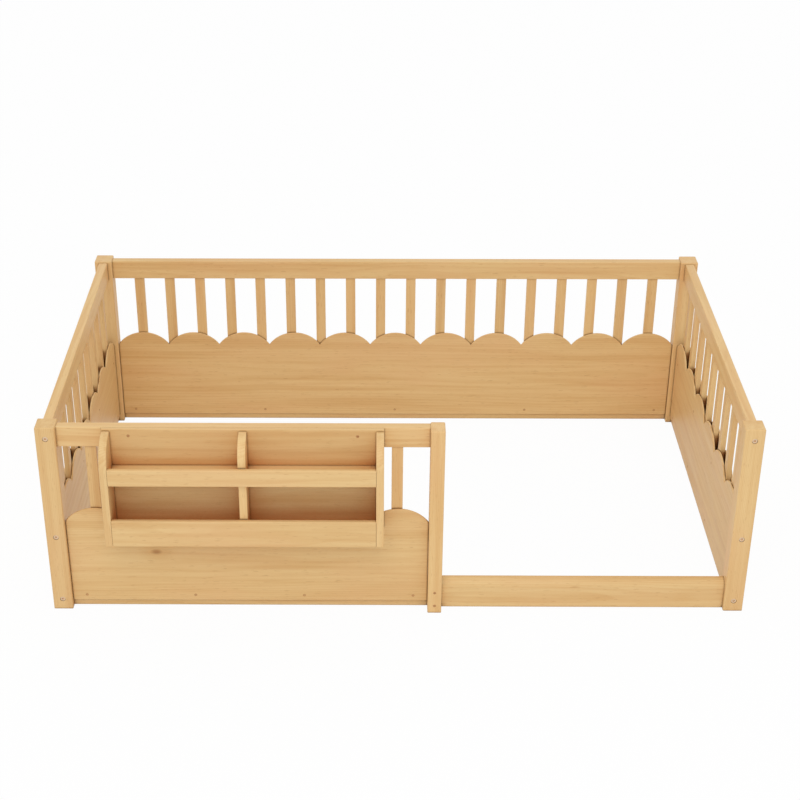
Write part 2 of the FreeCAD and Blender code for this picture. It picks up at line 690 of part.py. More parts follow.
def facing(wall, outwards):
    """The turn that lays an item's Z along a wall's local Y, out or in."""
    tilt = FreeCAD.Rotation(Vector(1, 0, 0), -90 if outwards else 90)
    return FreeCAD.Rotation(Vector(0, 0, 1), wall.turn) * tilt


def group(label, items):
    bundle = doc.addObject("Part::Compound", label)
    bundle.Label = label
    bundle.Links = items
    return bundle


def post_bolts():
    """Three bolts through each corner post into the side rails' ends."""
    items = []
    for x_sign in ("-", ""):
        for wall, y_side in ((FRONT, -1), (BACK, 1)):
            for height in (TOP_RAIL_MIDDLE, MIDDLE_RAIL_MIDDLE, BOTTOM_RAIL_MIDDLE):
                name = f"post_bolt_{len(items)}"
                length = "(post_side - bolt_sink + nut_inset + bolt_past_nut)"
                pin = headed(name + "_pin", "bolt_diameter", length, "bolt_head_diameter", "bolt_head_height")
                socket = doc.addObject("Part::Prism", name + "_socket")
                socket.Polygon = 6
                socket.setExpression("Circumradius", tie("bolt_socket/sqrt(3)"))
                socket.setExpression("Height", tie("bolt_socket_depth"))
                bolt = doc.addObject("Part::Cut", name)
                bolt.Base = pin
                bolt.Tool = socket
                y = f"({BED_Y} + {y_side}*(bed_width/2 - bolt_sink))"
                stand(bolt, facing(wall, False), f"{x_sign}{RAIL_X}", y, height)
                items.append(bolt)
    return group("post_bolts", items)


def barrel_nuts():
    """The cross nuts in the side rails, which the post bolts screw into."""
    items = []
    for wall in (LEFT, RIGHT):
        for sign in ("-", ""):
            for height in (TOP_RAIL_MIDDLE, MIDDLE_RAIL_MIDDLE, BOTTOM_RAIL_MIDDLE):
                name = f"barrel_nut_{len(items)}"
                barrel = rod(name + "_barrel", "nut_diameter", "nut_length")
                thread = rod(name + "_thread", "(bolt_diameter + 2*fit)", "(nut_diameter + 2)")
                thread.Placement.Rotation = FreeCAD.Rotation(Vector(0, 1, 0), 90)
                thread.setExpression("Placement.Base.x", tie("-nut_diameter/2 - 1"))
                thread.setExpression("Placement.Base.z", tie("nut_length/2"))
                nut = doc.addObject("Part::Cut", name)
                nut.Base = barrel
                nut.Tool = thread
                x, y = in_wall(wall, f"{sign}({wall.run}/2 - nut_inset)", "(-nut_length/2)")
                stand(nut, facing(wall, True), x, y, height)
                items.append(nut)
    return group("barrel_nuts", items)


def screws_in(wall, prefix, spots, face, outwards, length):
    """Screws driven into a wall from a face at local Y, one at each spot."""
    items = []
    for i, (u, height) in enumerate(spots):
        screw = headed(f"{prefix}_{i}", "screw_diameter", length, "screw_head_diameter", "screw_head_height")
        x, y = in_wall(wall, u, face)
        items.append(stand(screw, facing(wall, outwards), x, y, height))
    return items


def board_screws():
    items = []
    for wall in WALLS:
        for side in ("inner", "outer"):
            length = "board_screw_length"
            if wall.inner and wall.outer:
                length = f"(board_thickness + {wall.core}/2 - 2*fit)"
            face = OUTER_FACE if side == "outer" else f"(-{OUTER_FACE})"
            for row, level in enumerate(screwed_levels(wall, side)):
                prefix = f"{wall.name}_{side}_screw_{row}"
                items += screws_in(wall, prefix, screw_spots(wall, level), face, side == "inner", length)
    return group("board_screws", items)


def bookcase_screws():
    spots = bookcase_screw_spots()
    items = screws_in(FRONT, "bookcase_screw", spots, BACK_FACE, False, "bookcase_screw_length")
    return group("bookcase_screws", items)


def gate_screws():
    face = "(gate_post_depth - rail_thickness/2)"
    spots = gate_screw_spots(f"({FRONT_X} - {GATE_X})")
    return group("gate_screws", screws_in(FRONT, "gate_screw", spots, face, False, "gate_screw_length"))


# ---------------------------------------------------------------- the whole bed
pieces = [
    corner_post("post_front_left", -1, -1, FRONT_LEVELS),
    corner_post("post_front_right", 1, -1, FRONT_LEVELS[2:]),
    corner_post("post_back_left", -1, 1, BACK_LEVELS),
    corner_post("post_back_right", 1, 1, BACK_LEVELS),
    gate_post(),
    front_sill(),
]
for wall in WALLS:
    pieces.append(top_rail(wall))
    pieces.append(middle_rail(wall))
    if wall is not FRONT:
        pieces.append(bottom_rail(wall))
    for side in ("inner", "outer"):
        if wall.inner if side == "inner" else wall.outer:
            pieces.append(board(wall, side))
    slats = [slat(wall, i) for i in range(round(number(wall.slats)))]
    if wall is BACK:
        pieces += slats
    else:
        pieces.append(group(f"{wall.name}_slats", slats))
pieces += [
    bookcase_back(),
    bookcase_side("bookcase_left_side", 1),
    bookcase_side("bookcase_right_side", -1),
    bookcase_divider(),
    shelf("bookcase_lower_shelf", SHELF_LOWS[0], False),
    shelf("bookcase_upper_shelf", SHELF_LOWS[1], True),
    lip("bookcase_lower_lip", SHELF_LOWS[0], "lower_lip_height"),
    lip("bookcase_upper_lip", SHELF_LOWS[1], "upper_lip_height"),
    post_bolts(),
    barrel_nuts(),
    board_screws(),
    bookcase_screws(),
    gate_screws(),
]
doc.recompute()

for item in doc.Objects:
    if "Invalid" in item.State or "Error" in item.State:
        raise RuntimeError(f"{item.Name} failed: {item.State}")
    if item.TypeId == "PartDesign::Pocket" and item.BaseFeature:
        if item.Shape.Volume > item.BaseFeature.Shape.Volume - 1:
            raise RuntimeError(f"{item.Name} of {item._Body.Label} cuts nothing")

os.makedirs("parts", exist_ok=True)
for piece in pieces:
    if piece.Shape.isNull() or not piece.Shape.isValid():
        raise RuntimeError(f"{piece.Label} has no valid solid")
for piece in pieces:
    piece.Shape.exportStep(f"parts/{piece.Label}.step")
whole = Part.makeCompound([piece.Shape for piece in pieces]).optimalBoundingBox(False)
print(f"{len(pieces)} pieces, {whole.XLength:.1f} x {whole.YLength:.1f} x {whole.ZLength:.1f} mm")
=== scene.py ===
# %% [markdown]
# # A toddler floor bed in pine
#
# The bed is a low open crib: five posts, rails between them, flat slats under
# the top rails, thin scalloped boards round the foot, and a shallow two-tier
# bookcase on the front wall. The carpentry comes from the CAD frame and stays
# where it is. This lesson gives it its looks: lacquered pine with its grain
# running the right way in every piece, boards with softly eased scallops,
# plated bolt heads, and the light and camera of the photograph.

# %% Load the frame
import math
import bpy
import numpy as np
from mathutils import Matrix, Vector


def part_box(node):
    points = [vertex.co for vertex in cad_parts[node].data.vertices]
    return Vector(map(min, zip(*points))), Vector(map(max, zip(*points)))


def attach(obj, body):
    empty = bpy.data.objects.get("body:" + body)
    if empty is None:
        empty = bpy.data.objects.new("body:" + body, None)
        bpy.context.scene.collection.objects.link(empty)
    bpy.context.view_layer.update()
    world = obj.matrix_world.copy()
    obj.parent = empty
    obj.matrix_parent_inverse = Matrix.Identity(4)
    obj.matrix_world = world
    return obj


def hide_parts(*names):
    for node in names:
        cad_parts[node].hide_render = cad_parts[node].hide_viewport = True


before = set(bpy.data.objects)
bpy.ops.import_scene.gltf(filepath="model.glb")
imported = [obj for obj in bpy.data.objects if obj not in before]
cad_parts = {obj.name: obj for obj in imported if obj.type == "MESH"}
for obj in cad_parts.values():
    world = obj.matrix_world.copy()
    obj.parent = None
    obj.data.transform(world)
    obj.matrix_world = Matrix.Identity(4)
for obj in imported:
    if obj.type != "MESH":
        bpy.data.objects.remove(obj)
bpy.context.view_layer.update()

print("pieces in the frame:", len(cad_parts))

# %% [markdown]
# ## The camera
#
# Long straight rails make a photograph easy to measure: their edges gave the
# camera's place and its turn. It stands three metres in front of the bed's
# middle and two metres up, looks down at 29 degrees, and has a long lens. Its
# principal point isn't quite the middle of the picture, as in a photograph that
# was cropped, so the lens is shifted a few hundredths of a frame.

# %% Camera
IMAGE_SIDE = 800                          # pixels
SENSOR = 36.0                             # millimetres
FOCAL_PIXELS = 1628.1
PRINCIPAL_POINT = (367.6, 385.1)          # pixels, from the top left
CAMERA_PLACE = Vector((-0.0435, -3.0497, 2.0049))        # metres
PITCH, YAW, ROLL = 0.50538, -0.00658, -0.00061            # radians, pitch downwards


def add_camera():
    """Forward is the view's direction, right is level, up is right x forward."""
    ahead = math.cos(PITCH)
    forward = Vector((math.sin(YAW) * ahead, math.cos(YAW) * ahead, -math.sin(PITCH)))
    level = Vector((math.cos(YAW), -math.sin(YAW), 0))
    upright = level.cross(forward)
    right = level * math.cos(ROLL) + upright * math.sin(ROLL)
    up = upright * math.cos(ROLL) - level * math.sin(ROLL)
    data = bpy.data.cameras.new("camera")
    data.sensor_width = SENSOR
    data.lens = FOCAL_PIXELS / IMAGE_SIDE * SENSOR
    data.shift_x = (IMAGE_SIDE / 2 - PRINCIPAL_POINT[0]) / IMAGE_SIDE
    data.shift_y = (PRINCIPAL_POINT[1] - IMAGE_SIDE / 2) / IMAGE_SIDE
    camera = bpy.data.objects.new("camera", data)
    turn = Matrix((right, up, -forward)).transposed()
    camera.matrix_world = Matrix.Translation(CAMERA_PLACE) @ turn.to_4x4()
    bpy.context.scene.collection.objects.link(camera)
    return camera


bpy.context.scene.camera = add_camera()
print("lens", round(bpy.context.scene.camera.data.lens, 1), "mm")

# %% [markdown]
# ## Shader maths as Python
#
# A material here is a formula over the surface. Writing it as Python
# expressions keeps it short: `Value` wraps one socket, and each operator adds
# one Math node. `Shader.node` makes every other kind of node from its type, its
# settings and its inputs.

# %% A small language for materials
class Value:
    """A number that changes over the surface."""

    def __init__(self, shader, socket):
        self.shader = shader
        self.socket = socket

    def math(self, operation, *others):
        inputs = {i: value for i, value in enumerate((self, *others))}
        return self.shader.node("Math", {"operation": operation}, inputs)

    def __add__(self, other):
        return self.math("ADD", other)

    def __sub__(self, other):
        return self.math("SUBTRACT", other)

    def __rsub__(self, other):
        return self.shader.node("Math", {"operation": "SUBTRACT"}, {0: other, 1: self})

    def __mul__(self, other):
        return self.math("MULTIPLY", other)

    def __truediv__(self, other):
        return self.math("DIVIDE", other)

    __radd__ = __add__
    __rmul__ = __mul__

    def step(self, low, high):
        """0 below low, 1 above high, and an S curve between them."""
        settings = {"interpolation_type": "SMOOTHSTEP"}
        return self.shader.node("MapRange", settings, {"Value": self, "From Min": low, "From Max": high})


class Shader:
    """The nodes of one material, or of the world, under construction."""

    def __init__(self, owner):
        owner.use_nodes = True
        self.owner = owner
        self.tree = owner.node_tree
        self.tree.nodes.clear()

    def node(self, kind, settings=None, inputs=None, output=0):
        """A node of this kind, its settings first and then its sockets, as one of its outputs."""
        made = self.tree.nodes.new("ShaderNode" + kind)
        for key, setting in (settings or {}).items():
            setattr(made, key, setting)
        for key, value in (inputs or {}).items():
            if isinstance(value, Value):
                self.tree.links.new(value.socket, made.inputs[key])
            else:
                made.inputs[key].default_value = value
        return Value(self, made.outputs[output]) if made.outputs else made

    def place(self):
        """The point on the surface, in metres, in the bed's own frame."""
        return self.node("TexCoord", output="Object")

    def axes(self, vector):
        return [self.node("SeparateXYZ", inputs={0: vector}, output=i) for i in range(3)]

    def join(self, x, y, z):
        return self.node("CombineXYZ", inputs={0: x, 1: y, 2: z})

    def mix(self, amount, first, second, blend="MIX"):
        """Colours go through a Mix node, because a Math node would turn them grey."""
        settings = {"data_type": "RGBA", "blend_type": blend}
        return self.node("Mix", settings, {0: amount, 6: first, 7: second}, output=2)

    def noise(self, vector, scale, detail=2.0, roughness=0.5):
        inputs = {"Vector": vector, "Scale": scale, "Detail": detail, "Roughness": roughness}
        return self.node("TexNoise", inputs=inputs)

    def open_sky(self, reach):
        """How much of what lies within reach of a point is empty: 1 on a flat face, about a
        half in a square corner, and near 0 deep in a slot."""
        return self.node("AmbientOcclusion", {"samples": 8}, {"Distance": reach}, output="AO")

    def dice(self, vector):
        """Three random numbers for each whole-number place."""
        settings = {"noise_dimensions": "3D"}
        return self.axes(self.node("TexWhiteNoise", settings, {"Vector": vector}, output="Color"))

    def finish(self, bump_height, bump_distance, base, **inputs):
        """Ends in a Principled shader with a bump."""
        bump = {"Height": bump_height, "Distance": bump_distance, "Strength": 1.0}
        normal = self.node("Bump", inputs=bump)
        sockets = {"Base Color": base, "Normal": normal}
        sockets.update({key.replace("_", " "): value for key, value in inputs.items()})
        self.node("OutputMaterial", inputs={"Surface": self.node("BsdfPrincipled", inputs=sockets)})
        return self.owner


def new_shader(name):
    return Shader(bpy.data.materials.new(name))


def rgb(red, green, blue):
    """A colour as a picture editor gives it, 0 to 255, in Blender's linear numbers."""
    def linear(c):
        c /= 255
        return c / 12.92 if c <= 0.04045 else ((c + 0.055) / 1.055) ** 2.4
    return (linear(red), linear(green), linear(blue), 1.0)


# %% [markdown]
# ## Pine
#
# A tree grows in rings, and a plank is a slice through them. So the grain is
# worked out as a solid: the distance of a point from the tree's heart gives the
# ring that it lies in, the pale spring wood fades into a darker line of summer
# wood, and every face of a piece then shows its own stripes or flames, with the
# rings' arcs on the sawn ends. A picture wrapped round the piece couldn't do that
# at its corners.
#
# The pieces of one wood lie side by side, so space is cut between them into
# cells, and each cell draws its own heart, tone and knots by lot. No two
# neighbours show the same figure.

# %% Where a point lies in its stick
ORDER = {"X": (0, 1, 2), "Y": (1, 2, 0), "Z": (2, 0, 1)}     # along the grain, then the two across


def stick(s, cuts):
    """For each axis, the way from the middle of the stick that a point lies in, and three
    random numbers for that stick. cuts gives, for an axis, where the first stick begins
    and how far it is to the next, in metres."""
    here = s.axes(s.place())
    number = [0.0, 0.0, 0.0]
    for axis, (start, size) in cuts.items():
        i = "XYZ".index(axis)
        number[i] = ((here[i] - start) / size).math("FLOOR")
        here[i] = here[i] - (number[i] + 0.5) * size - start
    return here, s.dice(s.join(*number))


print("grain directions:", ", ".join(ORDER))

# %% [markdown]
# Lacquered nursery pine is calm: pale, honey-coloured, with faint rings, short
# darker dashes where the saw opened a resin canal, and a few small knots. Shade
# is painted into the colour on top of the wood. A thin brown line of painted
# shade runs where two pieces meet. A warmer, darker painted shade lies in a place
# that is closed in on most sides, such as a bay of the bookcase or the slot
# between two boards, where light would reach it only off other wood. All come
# from one question, how much open space lies round a point, asked at three
# distances: 5 mm for the line, 30 mm for the slot and 200 mm for the bay. The
# floor counts as closed too, so the bay's painted shade fades out towards it.

# %% Pine colours and painted shades
SPRING_WOOD = rgb(236, 201, 143)
SUMMER_WOOD = rgb(212, 160, 96)
CANAL = rgb(176, 116, 62)
KNOT_WOOD = rgb(158, 100, 52)
ROSY_PATCH = rgb(230, 184, 132)
# Painted shade: a dark line along a joint, where pieces meet.
SEAM_SHADE_BROWN = rgb(112, 66, 28)
SEAM_SHADE_REACH, SEAM_SHADE_STRENGTH = 0.005, 0.62
# Painted shade: the dark of a slot between two boards.
SLOT_SHADE_BROWN = rgb(78, 38, 10)
SLOT_SHADE_REACH, SLOT_SHADE_STRENGTH = 0.03, 0.85
# Painted shade: the warmer, darker colour of a bay that is closed in on most sides.
BAY_SHADE_TINT = rgb(231, 180, 138)
BAY_SHADE_REACH = 0.2
BAY_SHADE_FADES = (0.05, 0.19)                   # heights between which the bay's painted shade comes in


def closed_in(s, reach, tight, loose):
    """1 where the share of open space within reach is under tight, 0 where it is over loose."""
    return 1.0 - s.open_sky(reach).step(tight, loose)


def with_painted_shade(s, colour):
    """A colour with painted shade laid over it: the bay's warm tint, the slot's dark and the joint's dark
    line.
    """
    # Each mask below is painted shade, strongest where little open space lies round a point.
    off_floor = s.axes(s.place())[2].step(*BAY_SHADE_FADES)
    bay = closed_in(s, BAY_SHADE_REACH, tight=0.05, loose=0.38) * off_floor
    slot = closed_in(s, SLOT_SHADE_REACH, tight=0.05, loose=0.45) * SLOT_SHADE_STRENGTH
    seam = closed_in(s, SEAM_SHADE_REACH, tight=0.42, loose=0.95) * SEAM_SHADE_STRENGTH
    colour = s.mix(bay, colour, BAY_SHADE_TINT, "MULTIPLY")
    colour = s.mix(slot, colour, SLOT_SHADE_BROWN)
    return s.mix(seam, colour, SEAM_SHADE_BROWN)


def knots_at(s, place, share, wobble):
    """Two masks: a knot, and the darker wood round it. place is measured in cells that
    may hold one knot each, and share is how many of them do."""
    cells = {"Vector": place, "Scale": 1.0}
    far, luck = (s.node("TexVoronoi", inputs=cells, output=i) for i in (0, 1))
    lucky = s.axes(luck)[0].step(1.0 - share, 1.01 - share)
    far = far + wobble
    return (1.0 - far.step(0.02, 0.07)) * lucky, (1.0 - far.step(0.04, 0.22)) * lucky


print("joints darken within", SEAM_SHADE_REACH * 1000, "mm, and bays within", BAY_SHADE_REACH * 1000, "mm")

# %% [markdown]
# The wood itself is a stack of layers, from the widest to the finest. `sway`
# bends the whole stick's rings a little. `summer` is the dark late part of each
# ring, and `streak` and `cloud` make the tone wander along the grain and in soft
# patches. `fibre` is the fine stripe of the cut cells, and `dash` the short marks
# of the resin canals. Every layer's spots are longer along the grain than across
# it, by two to forty times.

# %% Pine material
GRAIN_DEPTH = 0.0001


def pine(name, grain, cuts, ring=0.0038, heart=0.07, contrast=0.3, knots=0.2):
    """A wood whose grain runs along one axis. ring is the width of a year's ring
    and heart the usual way from a stick to the middle of its tree, in metres.
    contrast is the strength of the rings, and knots the share of cells with one."""
    s = new_shader(name)
    here, (chance, other, third) = stick(s, cuts)
    along, a, b = (here[i] for i in ORDER[grain])
    drift = s.join(along * 1.7 + chance * 9.0, a * 9.0 + other * 5.0, b * 9.0)
    sway = s.noise(drift, 1.0, 2.0)
    across_a = a + (0.6 + other) * heart + (sway - 0.5) * 0.018
    across_b = b + (chance - 0.5) * heart + (s.noise(drift, 0.8, 1.0) - 0.5) * 0.034
    radius = (across_a * across_a + across_b * across_b).math("SQRT")
    year = (radius / ring + s.noise(drift, 3.0, 1.0) * 0.8).math("FRACT")
    summer = year.step(0.25, 0.9) * (1.0 - year.step(0.9, 1.0))
    fibre = s.noise(s.join(along * 16.0, a * 640.0, b * 640.0), 1.0, 3.0, 0.62)
    streak = s.noise(s.join(along * 2.6 + third * 5.0, a * 70.0, b * 70.0), 1.0, 2.0)
    cloud = s.noise(s.join(along * 3.4, a * 9.0 + chance * 3.0, b * 9.0), 1.0, 2.0)
    dash = s.noise(s.join(along * 48.0 + other * 3.0, a * 560.0, b * 560.0 + third), 1.0, 1.0)
    colour = s.mix(summer * (0.3 + streak) * contrast, SPRING_WOOD, SUMMER_WOOD)
    colour = s.mix(streak.step(0.35, 0.75) * 0.42, colour, SUMMER_WOOD)
    colour = s.mix(cloud.step(0.40, 0.72) * 0.40, colour, ROSY_PATCH)
    colour = s.mix(fibre.step(0.38, 0.74) * 0.18, colour, SUMMER_WOOD)
    canal = dash.step(0.66, 0.74)
    colour = s.mix(canal * 0.30, colour, CANAL)
    knot_place = s.join(along * 4.6 + third * 6.0, a * 8.0 + chance * 5.0, b * 8.0 + other * 5.0)
    knot, halo = knots_at(s, knot_place, knots, (sway - 0.5) * 0.06 + (fibre - 0.5) * 0.02)
    colour = s.mix(halo * 0.35, colour, SUMMER_WOOD)
    colour = s.mix(knot * 0.6, colour, KNOT_WOOD)
    tone = 0.955 + other * 0.06 + (cloud - 0.5) * 0.05
    colour = s.mix(1.0, colour, s.join(tone, tone, tone), "MULTIPLY")
    rough = 0.50 + (fibre - 0.5) * 0.16 - summer * 0.05 + knot * 0.08
    height = fibre * 0.6 - summer * 0.3 - canal * 0.5
    # The base colour carries the painted shade of the joints, slots and bays.
    return s.finish(height, GRAIN_DEPTH, with_painted_shade(s, colour), Roughness=rough, Specular_IOR_Level=0.28,
                    Coat_Weight=0.04, Coat_Roughness=0.3)


print("depth of the grain:", GRAIN_DEPTH * 1000, "mm")

# %% [markdown]
# One function makes every wood of the bed. What differs is the way the grain
# runs, where one piece ends and the next begins, and how bold the figure is:
# posts and slats run upwards, rails and boards run along their wall. Nearly every
# cut lies in the gap between two pieces. Three run down slats of the front wall,
# whose spacing is a little wider than the back wall's, and one crosses the
# bookcase's back panel just under the upper shelf.

# %% The woods of this bed
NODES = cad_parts
SIDE_SLATS = 9
ROOM_X, ROOM_Y, ROOM_Z = 1.36, 0.76, 0.2      # from wall to wall, and from rail to rail


def slat_cuts():
    """Cuts half-way between the slats: across the back wall, and along the side walls,
    whose slats are one node of nine."""
    first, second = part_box("back_slat_01"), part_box("back_slat_02")
    width = first[1].x - first[0].x
    pitch = second[0].x - first[0].x
    low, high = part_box("left_slats")
    side_pitch = (high.y - low.y - width) / (SIDE_SLATS - 1)
    return (first[0].x + (width - pitch) / 2, pitch), (low.y + (width - side_pitch) / 2, side_pitch)


# For one axis: where the first stick's cell begins and how far it is to the next.
SIDES = (-ROOM_X, ROOM_X)
ENDS = (-ROOM_Y, ROOM_Y)
RAIL_LEVELS = (-ROOM_Z / 2, ROOM_Z)
SILL_LEVELS = (-0.07, ROOM_Z)
BOARD_LEVELS = (-0.01, 0.25)
SHELF_LEVELS = (0.182, 0.14)
POST_CUTS = (-0.9, 0.6)
END_BOARD_CUTS = (-ROOM_X / 2, ROOM_X)
UPRIGHT_CUTS = (-0.72, 0.28)
BACK_CUTS, SIDE_CUTS = slat_cuts()
SLAT_FIGURE = {"ring": 0.003, "heart": 0.04, "knots": 0.06}
RECIPES = {
    "post_pine": ("Z", {"X": POST_CUTS, "Y": ENDS}, {"ring": 0.0032, "heart": 0.05}),
    "long_rail_pine": ("X", {"Y": ENDS, "Z": RAIL_LEVELS}, {"heart": 0.06}),
    "end_rail_pine": ("Y", {"X": SIDES, "Z": RAIL_LEVELS}, {"heart": 0.06}),
    "slat_pine": ("Z", {"X": BACK_CUTS, "Y": ENDS}, SLAT_FIGURE),
    "end_slat_pine": ("Z", {"X": SIDES, "Y": SIDE_CUTS}, SLAT_FIGURE),
    "long_board_pine": ("X", {"Y": ENDS, "Z": BOARD_LEVELS},
                        {"ring": 0.0044, "contrast": 0.24, "knots": 0.36}),
    "end_board_pine": ("Y", {"X": END_BOARD_CUTS, "Z": BOARD_LEVELS},
                       {"ring": 0.0062, "contrast": 0.07, "knots": 0.3}),
    "sill_pine": ("X", {"Y": ENDS, "Z": SILL_LEVELS}, {"ring": 0.0036, "heart": 0.05}),
    "shelf_pine": ("X", {"Z": SHELF_LEVELS}, {"ring": 0.004, "contrast": 0.26}),
    "upright_pine": ("Z", {"X": UPRIGHT_CUTS}, {"ring": 0.0036, "knots": 0.1}),
}
WOODS = {name: pine(name, grain, cuts, **figure) for name, (grain, cuts, figure) in RECIPES.items()}


def wood_for(node):
    """The wood that a CAD piece is made of, from its name."""
    if node.startswith("bookcase"):
        return "upright_pine" if node.endswith(("side", "divider")) else "shelf_pine"
    if "post" in node:
        return "post_pine"
    if node == "front_sill":
        return "sill_pine"
    end_wall = node.startswith(("left", "right"))
    if "slat" in node:
        return "end_slat_pine" if end_wall else "slat_pine"
    if "board" in node:
        return "end_board_pine" if end_wall else "long_board_pine"
    return "end_rail_pine" if end_wall else "long_rail_pine"


print("woods:", ", ".join(WOODS))

# %% [markdown]
# ## Plated steel
#
# The bolts in the posts have a pale, cloudy plating that hardly stands out from
# the lacquered wood. The small wood screws are bronzed, to be seen even less.
# Both are dull, and mirror hardly anything, so what tells them from the wood is
# their cloudy colour and a roughness that wavers with the clouds and scratches.

# %% Steel materials
METALLIC = 0.1
SCRATCH_DEPTH = 0.00003


def plating(name, light, dull):
    """A plating that wavers between two colours, with fine scratches."""
    s = new_shader(name)
    cloud = s.noise(s.place(), 900.0, 3.0, 0.6)
    scratch = s.noise(s.place(), 4200.0, 2.0, 0.7)
    rough = 0.40 + cloud * 0.18 + (scratch - 0.5) * 0.12
    colour = s.mix(cloud.step(0.35, 0.7), light, dull)
    return s.finish(scratch, SCRATCH_DEPTH, colour, Roughness=rough, Metallic=METALLIC)


PALE_ZINC = plating("pale_zinc", rgb(236, 208, 176), rgb(226, 194, 156))
BRONZE = plating("bronzed_screw", rgb(206, 156, 104), rgb(178, 126, 76))
METALS = {"post_bolts": PALE_ZINC, "barrel_nuts": PALE_ZINC, "board_screws": BRONZE,
          "bookcase_screws": BRONZE, "gate_screws": BRONZE}


def dress(piece, material):
    """Gives every slot of a piece one material."""
    if not piece.material_slots:
        piece.data.materials.append(material)
    for held in piece.material_slots:
        held.material = material


for node_name, cad_piece in NODES.items():
    dress(cad_piece, METALS.get(node_name) or WOODS[wood_for(node_name)])
print("dressed", len(NODES), "pieces of the frame")

# %% [markdown]
# ## Scalloped boards
#
# On the real bed the scallops are routed and their edges eased, so they catch a
# soft line of light. A fillet has trouble at the sharp points between two
# scallops, but a formula hasn't: an eased edge is the same outline moved
# inwards a little at a time, and a circle moved inwards is a smaller circle with
# the same centre. So the board is one grid: along it, a column of points for
# each place on its length, and round it, a rounded section whose top follows the
# circle of that place.

# %% Eased scalloped boards
BOARD_EASE = 0.0014
SAMPLES_PER_SCALLOP = 28
CORNER_STEPS = 5
END_ROWS = np.array([0.1, 0.35, 1.0])      # extra rows of points near an end, in eases
END_DROP = 0.6                             # the top's share of the faces' draw-in at an end


def board_section(thickness):
    """The section round a board, from its foot over the top and down again: for
    each point, its way across the thickness, whether it belongs to the top, and
    how far it lies inside the outline. A corner is a quarter circle, with one
    more point below it that keeps the face flat."""
    turn = np.linspace(0, np.pi / 2, CORNER_STEPS)
    inside = np.concatenate([[2 * BOARD_EASE], BOARD_EASE * (1 - np.sin(turn))])
    across = np.concatenate([[0], BOARD_EASE * (1 - np.cos(turn))])
    way = np.concatenate([across[::-1], across, thickness - across[::-1], thickness - across])
    is_top = np.repeat([0, 1, 1, 0], len(across))
    inset = np.concatenate([inside[::-1], inside, inside[::-1], inside])
    return way, is_top, inset


def scalloped_board(name, node, scallops, rise, along):
    """A board in the place of a CAD one. Its top, at a distance d from the middle
    of a scallop, is centre + sqrt((R - inset)^2 - d^2), with
    R = (chord^2 / 4 + rise^2) / (2 rise). Near both ends the section draws in."""
    low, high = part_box(node)
    across_axis = 1 - along
    thickness = high[across_axis] - low[across_axis]
    chord = (high[along] - low[along]) / scallops
    big_radius = (chord ** 2 / 4 + rise ** 2) / (2 * rise)
    way, is_top, inset = board_section(thickness)
    t = np.linspace(0, scallops, scallops * SAMPLES_PER_SCALLOP + 1)
    near_end = END_ROWS * BOARD_EASE / chord
    t = np.unique(np.concatenate([t, near_end, scallops - near_end]))
    from_middle = (t - np.minimum(np.floor(t), scallops - 1) - 0.5) * chord
    gap = np.clip(BOARD_EASE - np.minimum(t, scallops - t) * chord, 0, BOARD_EASE)
    drawn_in = BOARD_EASE - np.sqrt(BOARD_EASE ** 2 - gap ** 2)
    inset = np.maximum(inset[None, :], drawn_in[:, None] * END_DROP)
    arc = high.z - big_radius + np.sqrt((big_radius - inset) ** 2 - from_middle[:, None] ** 2)
    from_core = (way - thickness / 2)[None, :] * (1 - drawn_in[:, None] / thickness)
    points = np.empty((len(t), len(way), 3))
    points[..., along] = (low[along] + t * chord)[:, None]
    points[..., across_axis] = low[across_axis] + thickness / 2 + from_core
    points[..., 2] = np.where(is_top[None, :] > 0, arc, low.z + inset)
    return closed_skins(name, [points if along else points[:, ::-1]])


def closed_skins(name, grids):
    """One mesh of closed skins. Each is a grid of points whose rows are rings:
    four-sided faces join the rings, and a cap closes each end."""
    rows, ring = grids[0].shape[:2]
    index = np.arange(rows * ring).reshape(rows, ring)
    after = np.roll(index, -1, axis=1)
    quads = np.stack([index[:-1], after[:-1], after[1:], index[1:]], axis=-1).reshape(-1, 4)
    caps = np.stack([index[0, ::-1], index[-1]])
    shift = np.arange(len(grids))[:, None, None] * index.size
    faces = (quads + shift).reshape(-1, 4).tolist() + (caps + shift).reshape(-1, ring).tolist()
    mesh = bpy.data.meshes.new(name)
    mesh.from_pydata(np.concatenate([grid.reshape(-1, 3) for grid in grids]), [], faces)
    mesh.update()
    return mesh


print("points round a board:", 4 * (CORNER_STEPS + 1))

# %% [markdown]
# Six boards, and each takes the place of its CAD solid. The back wall is long
# enough for eleven scallops, the side walls for six, and what is left of the
# front wall beside the doorway also has six.

# %% Boards
SCALLOPS = {"back_board": 11, "front_board": 6, "left_inner_board": 6, "left_outer_board": 6,
            "right_inner_board": 6, "right_outer_board": 6}
SCALLOP_RISE = 0.031


def on_side_wall(node):
    return node.startswith(("left", "right"))


def add_piece(name, mesh, material, node, sharp_from=50):
    """A new piece on the bed that takes the place of a CAD node."""
    mesh.materials.append(material)
    mesh.shade_smooth()
    mesh.set_sharp_from_angle(angle=math.radians(sharp_from))
    piece = bpy.data.objects.new(name, mesh)
    bpy.context.scene.collection.objects.link(piece)
    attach(piece, "root")
    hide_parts(node)
    return piece


for node_name, count in SCALLOPS.items():
    board_name = "eased_" + node_name
    skin = scalloped_board(board_name, node_name, count, SCALLOP_RISE, int(on_side_wall(node_name)))
    add_piece(board_name, skin, WOODS[wood_for(node_name)], node_name)
print("boards:", ", ".join(SCALLOPS))

# %% [markdown]
# ## Screw heads
#
# The boards, the bookcase and the doorway post are held by small countersunk
# screws with a cross recess, driven a hair proud of the lacquer. A head is a disc
# of rings whose height is a formula: a shallow dome with a cross pressed in. Its
# edge goes a little way down into the wood.

